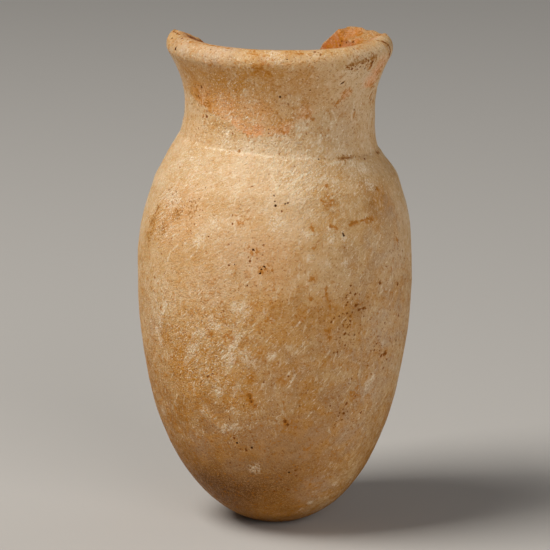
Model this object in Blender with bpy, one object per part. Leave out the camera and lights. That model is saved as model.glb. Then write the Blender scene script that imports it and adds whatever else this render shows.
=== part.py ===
"""Miniature alabaster jar: one piece of stone, carved outside, drilled out inside, its back rim broken off.

The jar stands on a small flat at the bottom of its rounded base, with that flat's centre at the origin.
The front is -Y. Lengths are in metres.
"""

import math

import bmesh
import bpy
import numpy as np
from mathutils import Vector, noise
from mathutils.geometry import interpolate_bezier

MM = 0.001

# Heights, each measured up from the level before it
BELLY_RISE = 40.9 * MM  # from the foot to the widest level
SHOULDER_RISE = 15.5 * MM  # from there to the edge where the shoulder turns in
COLLAR_RISE = 6.0 * MM  # up the shoulder's slope to the crease round the neck
NECK_RISE = 5.2 * MM  # from the crease to the narrowest level
LIP_RISE = 11.75 * MM  # from there to the top of the rim

# Widths over the outside at those levels
FOOT_WIDTH = 7.4 * MM
BELLY_WIDTH = 44.0 * MM
SHOULDER_WIDTH = 38.8 * MM
COLLAR_WIDTH = 31.3 * MM
NECK_WIDTH = 30.3 * MM
LIP_WIDTH = 36.0 * MM

# Stone that the drill left
LIP_THICKNESS = 4.2 * MM
NECK_WALL = 3.5 * MM
BELLY_WALL = 4.7 * MM
FLOOR_THICKNESS = 6.6 * MM

# What the carver's eye left uneven: how far the form sits to one side of the foot at each level,
# and how much the crease and the rim rise for each metre towards +X and towards +Y
LOW_OFFSET = -0.35 * MM
BELLY_OFFSET = -0.2 * MM
SHOULDER_OFFSET = 0.07 * MM
NECK_OFFSET = 0.6 * MM
COLLAR_TILT = (-0.060, -0.025)
RIM_TILT = (-0.015, 0.020)

# The old break across the back of the rim
BREAK_DEPTH = 8.5 * MM  # at its deepest, below the rim
BREAK_ROUGHNESS = 0.3 * MM
BREAK_LUMP = 3.0 * MM  # size of one lump of the broken face
# How the break runs round the neck: degrees from +X towards +Y, the share of its depth there,
# and how steeply its face climbs towards the inside of the wall
BREAK_COURSE = (
    (-30, -0.30, 0.0),
    (-14, -0.04, -0.2),
    (6, 0.10, -0.4),
    (24, 0.24, -0.4),
    (41, 0.25, -0.3),
    (49, 0.14, -0.1),
    (57, 0.44, 0.1),
    (62, 0.71, 0.2),
    (67, 0.92, 0.2),
    (80, 0.96, 0.1),
    (96, 1.00, 0.1),
    (112, 0.96, 0.2),
    (126, 0.93, 0.3),
    (134, 0.86, 0.3),
    (141, 0.64, 0.0),
    (149, 0.33, -0.25),
    (158, 0.22, -0.25),
    (172, 0.09, -0.15),
    (186, -0.03, 0.0),
    (205, -0.30, 0.0),
)
BREAK_START = BREAK_COURSE[0][0]

# Fineness of the faceted solid
SIDES = 72
LIP_STEPS = 8

STONE_COLOUR = (0.46, 0.29, 0.15, 1.0)
STONE_ROUGHNESS = 0.45

BELLY_LEVEL = BELLY_RISE
SHOULDER_LEVEL = BELLY_LEVEL + SHOULDER_RISE
COLLAR_LEVEL = SHOULDER_LEVEL + COLLAR_RISE
NECK_LEVEL = COLLAR_LEVEL + NECK_RISE
RIM_LEVEL = NECK_LEVEL + LIP_RISE
LIP_ROUND = LIP_THICKNESS / 2
LIP_CENTRE = Vector((LIP_WIDTH / 2 - LIP_ROUND, RIM_LEVEL - LIP_ROUND))
LIP_OUTER_END = -28  # degrees round the lip's section where it leaves the neck's flare
LIP_INNER_END = 158


def sweep(start, end, leave, arrive, steps):
    """Points of one smooth stretch of the outline, without its first point.

    leave and arrive are the lengths of the curve's handles, as shares of its run outwards and its rise.
    """
    run = end - start
    first = start + Vector((run.x * leave[0], run.y * leave[1]))
    last = end - Vector((run.x * arrive[0], run.y * arrive[1]))
    curve = interpolate_bezier(start, first, last, end, steps + 1)
    return [Vector((point.x, point.y)) for point in curve[1:]]


def lip_point(degrees):
    """A point on the rounded section of the lip, from 0 on its outer side over the top to 180."""
    angle = math.radians(degrees)
    return LIP_CENTRE + LIP_ROUND * Vector((math.cos(angle), math.sin(angle)))


def body_line():
    """The outside, from the middle of the foot up to the crease round the neck, as radius and height."""
    foot = Vector((FOOT_WIDTH / 2, 0))
    belly = Vector((BELLY_WIDTH / 2, BELLY_LEVEL))
    shoulder = Vector((SHOULDER_WIDTH / 2, SHOULDER_LEVEL))
    collar = Vector((COLLAR_WIDTH / 2, COLLAR_LEVEL))
    line = [Vector((0, 0)), foot]
    line += sweep(foot, belly, (0.72, 0.084), (0, 0.425), 15)
    line += sweep(belly, shoulder, (0, 0.60), (0.42, 0.27), 6)
    line += sweep(shoulder, collar, (0.33, 0.33), (0.33, 0.33), 2)
    return line


def neck_line():
    """The outside of the neck, from the crease up to the lip."""
    collar = Vector((COLLAR_WIDTH / 2, COLLAR_LEVEL))
    neck = Vector((NECK_WIDTH / 2, NECK_LEVEL))
    line = sweep(collar, neck, (0.70, 0.48), (0, 0.60), 3)
    return line + sweep(neck, lip_point(LIP_OUTER_END), (0, 0.42), (0.46, 0.26), 5)


def lip_line():
    """Over the lip, from its outer side to its inner side."""
    step = (LIP_INNER_END - LIP_OUTER_END) / LIP_STEPS
    return [lip_point(LIP_OUTER_END + step * count) for count in range(1, LIP_STEPS + 1)]


def bore_line():
    """The drilled neck, from the lip down to its narrowest level."""
    bore = Vector((NECK_WIDTH / 2 - NECK_WALL, NECK_LEVEL))
    return sweep(lip_point(LIP_INNER_END), bore, (0.36, 0.22), (0, 0.45), 5)


def hollow_line():
    """The drilled body, from the neck down to the middle of the floor."""
    bore = Vector((NECK_WIDTH / 2 - NECK_WALL, NECK_LEVEL))
    belly = Vector((BELLY_WIDTH / 2 - BELLY_WALL, BELLY_LEVEL))
    floor = Vector((0, FLOOR_THICKNESS))
    return sweep(bore, belly, (0, 0.30), (0, 0.42), 7) + sweep(belly, floor, (0, 0.50), (0.55, 0), 8)


def follow(stops, where):
    """The value at where on a smooth line through stops, which are pairs of place and value."""
    if where <= stops[0][0]:
        return stops[0][1]
    for (start, before), (end, after) in zip(stops, stops[1:]):
        if where <= end:
            share = (where - start) / (end - start)
            return before + (after - before) * share * share * (3 - 2 * share)
    return stops[-1][1]


def lengths(line):
    """How far each point of a line lies along it."""
    steps = np.linalg.norm(np.diff(line, axis=0), axis=1)
    return np.concatenate(([0], np.cumsum(steps)))


def crossing(line, over, place):
    """Where the outline meets the broken face, between its points place and place + 1.

    over is how far each point stands above the face.
    """
    share = over[place] / (over[place] - over[place + 1])
    return line[place] + share * (line[place + 1] - line[place])


def broken_wall(line, collar, lip_out, lip_in, bore, degrees):
    """The wall's outline at one angle round the neck, with what stood above the broken face gone.

    The points between the crease and the bore's narrowest level are spread anew over the shorter outline,
    so that the point lip_out keeps the outer edge of the broken face and lip_in its inner edge.
    """
    depth = BREAK_DEPTH * follow([(angle, share) for angle, share, _ in BREAK_COURSE], degrees)
    climb = follow([(angle, steepness) for angle, _, steepness in BREAK_COURSE], degrees)
    face = RIM_LEVEL - depth - climb * (line[:, 0] - LIP_CENTRE.x)
    over = line[:, 1] - face
    lost = np.flatnonzero(over > 0)
    if not len(lost):
        return line
    first, last = lost[0], lost[-1]
    outer = crossing(line, over, first - 1)
    inner = crossing(line, over, last)
    kept = np.concatenate((line[:first], [outer, inner], line[last + 1 :]))
    old, new = lengths(line), lengths(kept)
    below = new[-1] - old[-1]
    stops = [old[collar], old[lip_out], old[lip_in], old[bore]]
    moved = [
        old[collar],
        min(old[lip_out], new[first]),
        max(old[lip_in] + below, new[first + 1]),
        old[bore] + below,
    ]
    along = np.interp(old, [0, *stops, old[-1]], [0, *moved, new[-1]])
    return np.stack((np.interp(along, new, kept[:, 0]), np.interp(along, new, kept[:, 1])), axis=1)


def by_hand(point):
    """Moves a point of the true turned form to where the carver's hand left it."""
    aside = follow(
        (
            (0, 0),
            (BELLY_LEVEL / 2, LOW_OFFSET),
            (BELLY_LEVEL, BELLY_OFFSET),
            (SHOULDER_LEVEL, SHOULDER_OFFSET),
            (NECK_LEVEL, NECK_OFFSET),
        ),
        point.z,
    )
    tilt = [
        follow(((SHOULDER_LEVEL, 0), (COLLAR_LEVEL, collar), (RIM_LEVEL, rim)), point.z)
        for collar, rim in zip(COLLAR_TILT, RIM_TILT)
    ]
    return point + Vector((aside, 0, tilt[0] * point.x + tilt[1] * point.y))


def stone():
    material = bpy.data.materials.new("alabaster")
    material.use_nodes = True
    shader = material.node_tree.nodes["Principled BSDF"]
    shader.inputs["Base Color"].default_value = STONE_COLOUR
    shader.inputs["Roughness"].default_value = STONE_ROUGHNESS
    shader.inputs["Metallic"].default_value = 0
    return material


def spun(line):
    """The outline turned once round the axis, each point knowing its place in the outline."""
    shape = bmesh.new()
    station = shape.verts.layers.int.new("station")
    points = [shape.verts.new((point.x, 0, point.y)) for point in line]
    for place, point in enumerate(points):
        point[station] = place
    edges = [shape.edges.new(pair) for pair in zip(points, points[1:])]
    bmesh.ops.spin(
        shape,
        geom=points + edges,
        cent=(0, 0, 0),
        axis=(0, 0, 1),
        angle=math.tau,
        steps=SIDES,
        use_merge=True,
    )
    bmesh.ops.remove_doubles(shape, verts=shape.verts, dist=0.001 * MM)
    return shape, station


def jar():
    """The whole vessel, outside and inside, with its broken rim."""
    stretches = [body_line(), neck_line(), lip_line(), bore_line(), hollow_line()]
    collar, lip_out, lip_in, bore = np.cumsum([len(stretch) for stretch in stretches[:4]]) - 1
    line = [point for stretch in stretches for point in stretch]
    shape, station = spun(line)
    walls = []
    for side in range(SIDES):
        degrees = BREAK_START + (side * 360 / SIDES - BREAK_START) % 360
        walls.append(broken_wall(np.array(line), collar, lip_out, lip_in, bore, degrees))
    for point in shape.verts:
        turn = math.atan2(point.co.y, point.co.x)
        side = round(SIDES * turn / math.tau) % SIDES
        radius, height = walls[side][point[station]]
        lift = 0
        if lip_out <= point[station] <= lip_in and height < RIM_LEVEL - LIP_ROUND:
            lift = BREAK_ROUGHNESS * noise.noise(point.co / BREAK_LUMP)
        place = Vector((radius * math.cos(turn), radius * math.sin(turn), height + lift))
        point.co = by_hand(place)
    bmesh.ops.recalc_face_normals(shape, faces=shape.faces)
    mesh = bpy.data.meshes.new("jar")
    shape.to_mesh(mesh)
    shape.free()
    mesh.shade_smooth()
    mesh.set_sharp_from_angle(angle=math.radians(40))
    mesh.materials.append(stone())
    return bpy.data.objects.new("jar", mesh)


def main():
    for old in list(bpy.data.objects):
        bpy.data.objects.remove(old)
    bpy.context.scene.collection.objects.link(jar())


main()
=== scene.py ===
"""Looks of the miniature alabaster jar: its carved and worn surface, its old break and its stained stone.

The jar stands on a small flat with that flat's centre at the origin. The front is -Y.
Lengths are in metres.
"""

import math
import random
from functools import partial, reduce
from types import SimpleNamespace

import bmesh
import bpy
import numpy as np
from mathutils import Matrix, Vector, noise
from mathutils.bvhtree import BVHTree
from mathutils.geometry import interpolate_bezier


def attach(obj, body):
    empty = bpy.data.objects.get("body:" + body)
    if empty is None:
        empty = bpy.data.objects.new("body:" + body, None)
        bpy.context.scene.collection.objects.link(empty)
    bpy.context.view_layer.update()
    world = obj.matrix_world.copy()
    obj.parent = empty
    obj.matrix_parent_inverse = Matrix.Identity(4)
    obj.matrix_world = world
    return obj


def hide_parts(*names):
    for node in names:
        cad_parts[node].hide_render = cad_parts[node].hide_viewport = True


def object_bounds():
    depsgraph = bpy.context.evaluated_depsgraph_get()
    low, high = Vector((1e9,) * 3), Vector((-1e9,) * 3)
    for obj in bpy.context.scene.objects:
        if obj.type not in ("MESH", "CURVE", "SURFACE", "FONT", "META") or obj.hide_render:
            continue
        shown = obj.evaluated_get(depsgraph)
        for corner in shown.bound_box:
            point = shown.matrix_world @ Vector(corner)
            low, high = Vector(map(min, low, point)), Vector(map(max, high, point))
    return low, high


bl_info = {
    "name": "Miniature alabaster jar",
    "version": (1, 0, 0),
    "blender": (4, 5, 0),
    "location": "3D View > Sidebar > Jar",
    "description": "Builds a small carved alabaster jar with a broken rim, and a plain stage for it",
    "category": "Add Mesh",
}

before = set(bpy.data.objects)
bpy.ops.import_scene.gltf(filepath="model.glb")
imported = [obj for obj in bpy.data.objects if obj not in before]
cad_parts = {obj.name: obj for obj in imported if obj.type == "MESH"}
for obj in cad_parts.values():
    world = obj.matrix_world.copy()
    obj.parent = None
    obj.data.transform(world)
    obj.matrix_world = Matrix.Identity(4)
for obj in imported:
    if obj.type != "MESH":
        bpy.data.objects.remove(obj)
SOLID_LOW, SOLID_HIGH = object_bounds()

MM = 0.001
PIECE = "alabaster_jar"
NODE = "jar"
BODY = "root"

# The old break across the back of the rim: degrees from +X towards +Y, the share of its full depth there,
# and how steeply its face climbs towards the inside of the wall
BREAK_COURSE = (
    (-30, -0.3, 0), (-14, -0.04, -0.2), (6, 0.1, -0.4), (24, 0.2, -0.4), (41, 0.22, -0.3),
    (49, 0.15, -0.1), (57, 0.44, 0.1), (62, 0.71, 0.2), (67, 0.92, 0.2), (80, 0.96, 0.1), (96, 1, 0.1),
    (112, 0.96, 0.2), (126, 0.93, 0.3), (134, 0.86, 0.3), (141, 0.64, 0), (149, 0.33, -0.25),
    (158, 0.22, -0.25), (172, 0.09, -0.15), (186, -0.03, 0), (205, -0.3, 0),
)

# Marks on the side that the photograph shows, in pixels of its view: place across, place down, and width
PHOTO_SIDE = 550
DARK_PITS = (
    (274.5, 195.4, 1.5), (274.8, 201.4, 1.6), (275.7, 206.3, 2.2), (285, 204.2, 1.5), (288, 203.7, 1.5),
    (343.5, 233.4, 2), (344, 236, 2.2), (252.6, 249.7, 2.2), (261.8, 269, 1.8), (263.6, 266.6, 2.2),
    (260.1, 273.4, 1.6), (234.3, 264.6, 1.4), (318.1, 159.1, 1.6), (280.7, 96.7, 2.2),
    (341.4, 83.6, 1.8), (343.4, 82.2, 1.8), (171.8, 38.7, 2.2), (175.9, 47.4, 2.6), (175.6, 49.3, 2.2),
    (210.9, 49.4, 1.5), (286.9, 59.8, 1.4), (236.6, 443.1, 2.4), (251.1, 447.8, 2.4), (289.4, 472.2, 2),
)
BROWN_PITS = (
    (352.2, 68.7, 3), (353.3, 41.7, 2.6), (346.2, 42.8, 2.4), (339.9, 45.4, 2.4), (341.5, 41.5, 1.8),
    (285, 422, 4), (287.4, 424.8, 3.6), (347, 294.4, 1.6), (350, 292.4, 1.6), (352.4, 299, 1.6),
    (347.6, 302, 1.6), (358, 304.4, 1.8), (365.6, 308.4, 1.8), (370, 306, 1.8), (349.6, 316, 1.6),
    (342.4, 313.6, 1.6), (334, 318.4, 1.8), (346, 320, 1.7), (350, 324, 1.6), (344.4, 334.8, 1.7),
    (348.6, 333.6, 1.6), (340, 338, 1.8), (364, 316, 1.6), (370, 319.4, 1.6), (371, 334, 1.6),
    (374.4, 347, 1.8), (379.4, 350.4, 1.8), (381.4, 346, 1.6), (376.4, 343.4, 1.7), (391.6, 364, 1.6),
    (339, 396, 1.8), (343, 409, 2), (340, 412.4, 2), (347.4, 411.8, 1.8), (338, 416.6, 1.8),
    (342.2, 419.4, 1.7), (336, 421.4, 1.6), (355, 396.4, 1.8), (357.8, 374, 1.6), (349, 383.4, 1.6),
    (308, 390, 1.6), (300, 406, 1.6), (288, 376, 1.8), (334, 352.6, 2.2), (337, 351.8, 2.4),
    (355.6, 305.9, 3.2), (397.7, 284.9, 3), (250, 398, 2.4), (251, 402.4, 2), (254.5, 251, 1.6),
    (190.1, 201.5, 1.5), (232.6, 223.9, 2), (208.6, 236.6, 1.7), (250.3, 261.5, 2), (228.5, 265.6, 2),
    (246.9, 285.2, 1.7), (168.9, 190.2, 1.5), (251.5, 186.8, 1.4), (282, 211.5, 1.4),
    (345.1, 247.1, 1.4), (380, 284.4, 2.8), (351.3, 285.4, 2), (355.1, 294, 3), (346.5, 297.8, 1.8),
    (346.5, 304.3, 2.1), (363.3, 308.6, 3.1), (359, 310.5, 2.6), (352.8, 312.4, 2.1),
    (346.8, 313.4, 2.5), (338.9, 316.7, 2), (350.8, 320.6, 2.6), (348.2, 327, 2.2), (345.6, 333, 2.7),
    (330.9, 322.5, 2.7), (384.8, 323, 2.5), (398.7, 315.8, 2.7), (378.1, 336.8, 1.9),
    (396.3, 339.7, 2.7), (345.6, 345, 2.4), (344.1, 348.8, 1.4), (339.4, 343.5, 1.4), (384.6, 354, 5),
    (387.2, 358.8, 2.6), (381, 356, 3.2), (374.3, 349.7, 2.7), (367.6, 366, 1.4), (383.4, 367.9, 2.5),
    (351.3, 378.9, 1.9), (347, 402.8, 3), (343.7, 412.9, 3.1), (348, 418.6, 1.7), (360.9, 412.9, 2.7),
    (330.3, 405.7, 2.1), (334.6, 424.4, 1.4), (208.4, 376.5, 2.7), (213, 374.4, 2), (263.5, 381.8, 2),
    (180, 375, 1.4), (254.7, 405, 1.9), (243.8, 406, 1.6), (234.3, 437.9, 2.5), (240.6, 449, 1.9),
    (246, 448.8, 1.4), (217.6, 451.8, 1.9), (220, 474.2, 1.9), (295.7, 470.2, 2.5), (296, 476, 2.7),
    (281.2, 479.4, 2), (291.5, 480.3, 1.4), (273.9, 491.2, 2.4), (287.6, 489.6, 2.3),
    (310.1, 90.1, 1.4), (268.7, 129.5, 1.4), (268.3, 133.5, 1.4), (207.1, 111.3, 1.4), (206.7, 117, 3),
    (201.4, 86.8, 2.8), (366.3, 58.9, 2.1), (372.3, 62.6, 3.3), (356, 66, 1.8), (360.5, 66.5, 1.8),
    (348, 67, 2), (368.5, 61, 2), (362.5, 63.5, 1.6), (357.5, 69, 1.6), (371.3, 65.2, 2.4),
    (365.1, 68.4, 2), (187.9, 39.5, 2), (181.8, 38.5, 2.5), (320.3, 55, 2.5), (314.6, 51.8, 2.5),
    (364.7, 158.9, 2.3), (377.6, 152.9, 3.5), (354, 110, 1.8), (371, 99.6, 2),
)
# Thin clefts, each a course of such places with its width in pixels; the right one's brown is partly
# painted shade
CLEFTS = (
    (((383.5, 42), (386.8, 43.6), (389.3, 46.2), (390.4, 49.8), (389.6, 54.5), (388.4, 59)), 3),
    (((172.9, 31.3), (176, 32.4), (179.5, 34.4)), 2.2),
)
# Iron stains, with how strong each is
RUST_SPOTS = (
    (371.4, 218.4, 5, 0.9), (366.6, 219.4, 5, 0.8), (253.6, 250, 9, 0.35), (262.6, 268, 10, 0.4),
    (352.4, 223, 4, 0.8), (336, 228, 3.5, 0.9), (311.6, 228, 3, 0.5), (325, 199, 9, 0.4),
    (329.5, 204.5, 10, 0.4), (328, 194, 7, 0.35), (326, 186.8, 5, 0.5), (314.5, 247, 5, 0.4),
    (311.1, 278.7, 6, 0.6), (310.8, 299.4, 3.4, 0.9), (302, 285.8, 3, 0.5), (329.3, 331.6, 4, 1),
    (330.7, 338, 5, 0.9), (249.6, 396, 6, 1), (249.6, 402, 7, 1), (254, 406, 5, 0.7),
    (259, 358, 10, 0.5), (268.7, 320, 8, 0.5), (228.5, 337.5, 9, 0.5), (211, 334, 9, 0.5),
    (252, 380, 8, 0.5), (286, 423, 6, 1), (292, 428, 9, 0.4), (176, 409, 5, 0.5), (187, 353.6, 6, 0.4),
    (279.1, 379.4, 5, 0.6), (273.3, 271.5, 4, 0.6), (239.3, 150.8, 3, 0.8), (307.2, 448.8, 6, 0.6),
    (304.8, 456.6, 4, 0.5), (309, 485.1, 5, 0.5), (228.7, 446.1, 4, 0.5), (303.3, 317.5, 5, 0.7),
    (377.6, 189.2, 5, 0.7), (363.3, 272.9, 4, 0.5), (396.8, 239.9, 8, 0.5), (354.2, 394.2, 11, 0.45),
    (380.7, 68.8, 16, 0.4), (371, 64, 10, 0.7), (372, 93, 9, 0.55), (373.9, 84.2, 18, 0.35),
    (346, 94.5, 10, 0.55), (354.2, 113.9, 4, 0.7), (308.6, 114.3, 13, 0.4), (289.5, 124.5, 14, 0.3),
    (281.5, 131.9, 10, 0.35), (246.5, 134.6, 7, 0.35), (261.8, 67.7, 18, 0.5), (252, 66, 12, 0.4),
    (272, 69, 10, 0.4), (255, 53, 9, 0.35), (266, 56, 6, 0.35), (297.7, 54, 5, 0.7),
    (301.5, 53, 3, 0.8), (212, 63.4, 6, 0.5), (240, 217, 16, 0.25), (205, 105, 12, 0.5),
    (200, 97, 12, 0.45), (353.3, 41.7, 3, 0.9), (346.2, 42.8, 4, 0.9), (339.9, 45.4, 4, 0.9),
    (333, 44, 12, 0.5), (340, 38, 22, 0.4), (350, 35, 20, 0.55), (357, 42, 14, 0.55),
    (346, 30, 14, 0.4), (361, 33, 7, 0.6), (200, 41, 3, 0.6),
)
# Thin stains along a course, with width and strength
RUST_STREAKS = (
    (((361, 220.6), (366, 219.6), (370, 218), (373, 217.4)), 2.2, 0.7),
    (((350, 224.5), (353.4, 222.4), (356.5, 221.4)), 3, 0.9),
    (((330.5, 225.8), (334, 226.6), (337.4, 229.4)), 2.8, 1),
    (((311, 226.5), (312.6, 229.5)), 2.6, 0.9),
    (((326.4, 286.5), (326.4, 292.5), (327.4, 298.5)), 3, 0.8),
    (((329.9, 304.8), (330.2, 310), (330, 316.3)), 1.8, 0.7),
    (((346, 94.5), (340, 101), (335.7, 104.7)), 4, 0.45),
    (((190, 42.4), (205, 44), (218, 46.8), (230, 48.6)), 2, 0.6),
    (((392.5, 262), (392.5, 266.7), (391, 271)), 4, 0.4), (((357.5, 383), (357.5, 390)), 4, 0.4),
)
# Brown dirt held in the stone's skin, and painted shade in two grooves
DIRT_PATCHES = (
    (172, 203, 12, 0.5), (158, 208, 14, 0.6), (153, 222, 18, 0.65), (150, 236, 18, 0.6),
    (163, 228, 26, 0.52), (176, 214, 22, 0.56), (190, 215, 16, 0.5), (188, 224, 8, 0.5),
    (172, 240, 12, 0.4), (197, 95, 14, 0.35), (190, 88, 12, 0.35), (207, 104, 12, 0.4),
    (372, 92.3, 7, 0.7), (370.9, 99.6, 7, 0.6), (376, 86, 5, 0.5), (188, 37.5, 8, 0.6),
    (345, 158.3, 12, 0.75), (338, 159, 6, 0.45), (377.6, 152.9, 6, 0.7), (364.7, 158.9, 4, 0.5),
    (356, 64.5, 18, 0.45), (370, 60.5, 20, 0.55), (378.6, 152.2, 7, 0.8), (250, 399, 8, 0.2),
    (174, 43, 14, 0.55), (180, 37, 10, 0.5), (192, 210, 20, 0.5), (212, 215, 14, 0.3),
    (397.7, 284.9, 9, 0.4), (360, 31.6, 6, 0.6), (177, 34, 8, 0.45), (350, 300, 14, 0.25),
    (345, 318, 20, 0.3), (345, 338, 18, 0.25),
)
DIRT_AND_SHADE_STREAKS = (
    (((174, 184.4), (169, 192), (163.5, 199.7)), 3, 0.3),
    # Painted shadow in the cleft on the right of the lip, over brown dirt.
    (((378, 40.6), (384, 42), (388.6, 46), (390.4, 51), (388.6, 58)), 5, 0.8),
    (((346.5, 67.5), (352, 65), (360, 62.5), (368, 60.5), (376, 57)), 7, 0.75),
    (((350, 69.5), (358, 67), (367, 65)), 4, 0.55),
    (((339.5, 159.2), (345, 158.6), (351, 157.6)), 6, 1), (((340.4, 84.4), (344.6, 81.4)), 2.6, 1),
    (((199, 183), (190, 192)), 2, 0.5),
    # Painted shadow in the ring's groove on the right, with a little dirt.
    (((320, 159.5), (333, 159.4), (346, 158.6), (358, 157), (370, 154.5), (379, 151.5)), 2.4, 0.35),
)
# Pale crystal patches and thin pale veins
PALE_SPOTS = (
    (276.4, 222.7, 15, 0.6), (361.8, 168.2, 10, 0.6), (369.5, 185.4, 10, 0.6), (331, 239, 12, 0.5),
    (344, 239.5, 8, 0.5), (307, 233, 8, 0.6), (238, 308.6, 11, 0.9), (246, 312, 8, 0.6),
    (212, 324, 9, 0.7), (229.5, 357, 10, 0.7), (244.8, 354.5, 10, 0.6), (201.7, 334, 10, 0.6),
    (156.8, 331.6, 9, 0.7), (160, 322, 9, 0.6), (161, 343, 9, 0.6), (166, 354, 9, 0.5),
    (255, 362, 10, 0.6), (270, 358, 7, 0.7), (262, 384, 8, 0.5), (243, 306, 8, 0.8), (217, 325, 8, 0.6),
    (217, 383, 7, 0.6), (203, 412, 7, 0.4), (219, 390, 8, 1), (223.8, 428, 5, 0.8),
    (163.5, 412, 8, 0.6), (371.4, 376.5, 9, 0.7), (366.6, 385.1, 8, 0.7), (254, 468, 12, 0.5),
    (222.4, 432.4, 4, 0.7), (225.4, 425.7, 4, 0.7), (335, 482.7, 6, 0.8), (310.3, 502.3, 6, 0.8),
    (272, 57, 18, 0.6), (265, 59, 10, 0.5), (345, 263, 8, 0.6), (348, 275, 6, 0.5), (310, 258, 8, 0.5),
    (198, 240, 12, 0.5), (212, 222, 12, 0.45), (329, 227.5, 4, 0.9), (342.4, 232, 3, 0.7),
    (222, 170, 8, 0.5), (335, 183, 8, 0.5), (375, 38, 20, 0.5), (382, 50, 10, 0.4),
)
PALE_STREAKS = (
    (((225, 358), (231, 348), (238.5, 337)), 6, 0.7), (((288, 335), (296, 326), (303, 318)), 1.2, 0.45),
    (((272, 360), (280, 350), (287, 342)), 1.2, 0.4), (((284, 388), (294, 376), (305, 366)), 1.2, 0.4),
    (((296, 356), (311, 342), (320, 333)), 1.2, 0.4), (((228, 430), (236, 424)), 2.4, 0.7),
    # The next six are pale streaks on the shoulder: pale crystals with painted glints.
    (((283, 178), (290, 172)), 1.6, 0.7), (((292, 184), (300, 177)), 1.6, 0.6),
    (((302, 176), (312, 171)), 1.6, 0.7), (((318, 180), (327, 174)), 1.6, 0.6),
    (((306, 190), (315, 186)), 1.6, 0.6), (((328, 165), (338, 162)), 1.8, 0.6),
    (((296.8, 325.8), (299.5, 322.5), (302.5, 319)), 1.6, 0.8),
    (((301.6, 346.9), (304.4, 342.1)), 1.5, 0.7), (((295.8, 353.6), (298, 350)), 1.5, 0.7),
    (((272.9, 357.4), (275.5, 353)), 2, 0.8), (((294.9, 375.6), (291, 382)), 2, 0.8),
    (((287.2, 376), (290, 371.5)), 1.8, 0.8),
    (((331.9, 110.6), (334.5, 115.5), (336.5, 120.1)), 1.6, 0.8), (((354, 100), (354, 108)), 1.8, 0.6),
    (((331.3, 123), (331, 129)), 2.2, 0.8),
    (((320.3, 145.8), (323, 148.5), (321.5, 152), (318, 151)), 1.6, 0.6),
    # The next two are a pale line along the ring's bead: pale stone with a painted highlight on the ridge.
    (((205, 148), (220, 149.5), (239, 151.6), (256, 154.5), (270, 157)), 2, 0.6),
    (((270, 157), (282, 157.4), (300, 158.2), (316, 158.4)), 2, 0.5),
    (((170, 166), (184, 160), (198, 156)), 1.8, 0.45), (((271, 176), (275, 184), (278, 193)), 3, 0.5),
    (((284, 187), (290, 183.5)), 2.4, 0.7), (((167, 262), (170, 252), (178, 245)), 1.6, 0.6),
    (((153, 290), (156, 300), (160, 312)), 2, 0.5),
)
# Areas where short pale flecks with painted glints, small specks, grey and honey tones are thick
FLECK_AND_GLINT_AREAS = (
    (235, 95, 80, 0.75), (300, 170, 80, 0.9), (350, 170, 60, 0.7), (330, 200, 60, 0.5),
    (170, 205, 60, 0.9), (235, 125, 90, 0.8), (285, 140, 100, 0.8), (330, 145, 70, 0.6),
    (195, 165, 80, 0.7), (240, 180, 80, 0.5), (205, 350, 130, 0.85), (170, 325, 90, 0.7),
    (240, 410, 100, 0.55), (163, 225, 50, 0.8), (265, 440, 120, 0.35), (330, 400, 120, 0.3),
    (370, 260, 90, 0.35), (205, 235, 90, 0.4),
)
SPECK_AREAS = (
    (355, 305, 36, 1), (348, 335, 44, 1), (380, 345, 50, 0.8), (355, 415, 50, 0.7), (158, 225, 50, 1),
    (190, 215, 36, 0.8), (160, 320, 90, 0.5), (240, 440, 70, 0.6), (290, 480, 60, 0.6),
    (362, 62, 34, 0.6), (200, 100, 40, 0.5), (175, 208, 50, 1), (395, 250, 50, 0.7),
    (255, 260, 50, 0.5),
)
ASH_AND_SHEEN_AREAS = (
    (315, 488, 50, 0.45), (395, 220, 50, 0.4), (392, 260, 60, 0.6), (385, 330, 80, 0.6),
    (350, 285, 70, 0.25), (372, 385, 60, 0.6), (345, 400, 70, 0.3), (310, 445, 80, 0.4),
    (274, 446, 90, 0.3), (300, 468, 56, 0.22), (238, 466, 46, 0.22), (200, 444, 40, 0.3),
    (280, 381, 70, 0.25), (388, 362, 50, 0.4), (330, 338, 36, 0.35), (210, 292, 40, 0.35),
    (380, 290, 40, 0.3), (300, 92, 60, 0.4), (350, 430, 60, 0.5), (350, 358, 50, 0.35),
    (178, 40, 26, 0.5), (240, 256, 60, 0.3), (376, 246, 40, 0.4), (225, 430, 60, 0.25),
    # Those at 212, 52 and 182, 50 paint a sheen along the lip.
    (152, 325, 40, 0.3), (212, 52, 50, 1), (182, 50, 30, 0.6), (365, 52, 36, 0.3), (345, 120, 60, 0.4),
)
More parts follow.
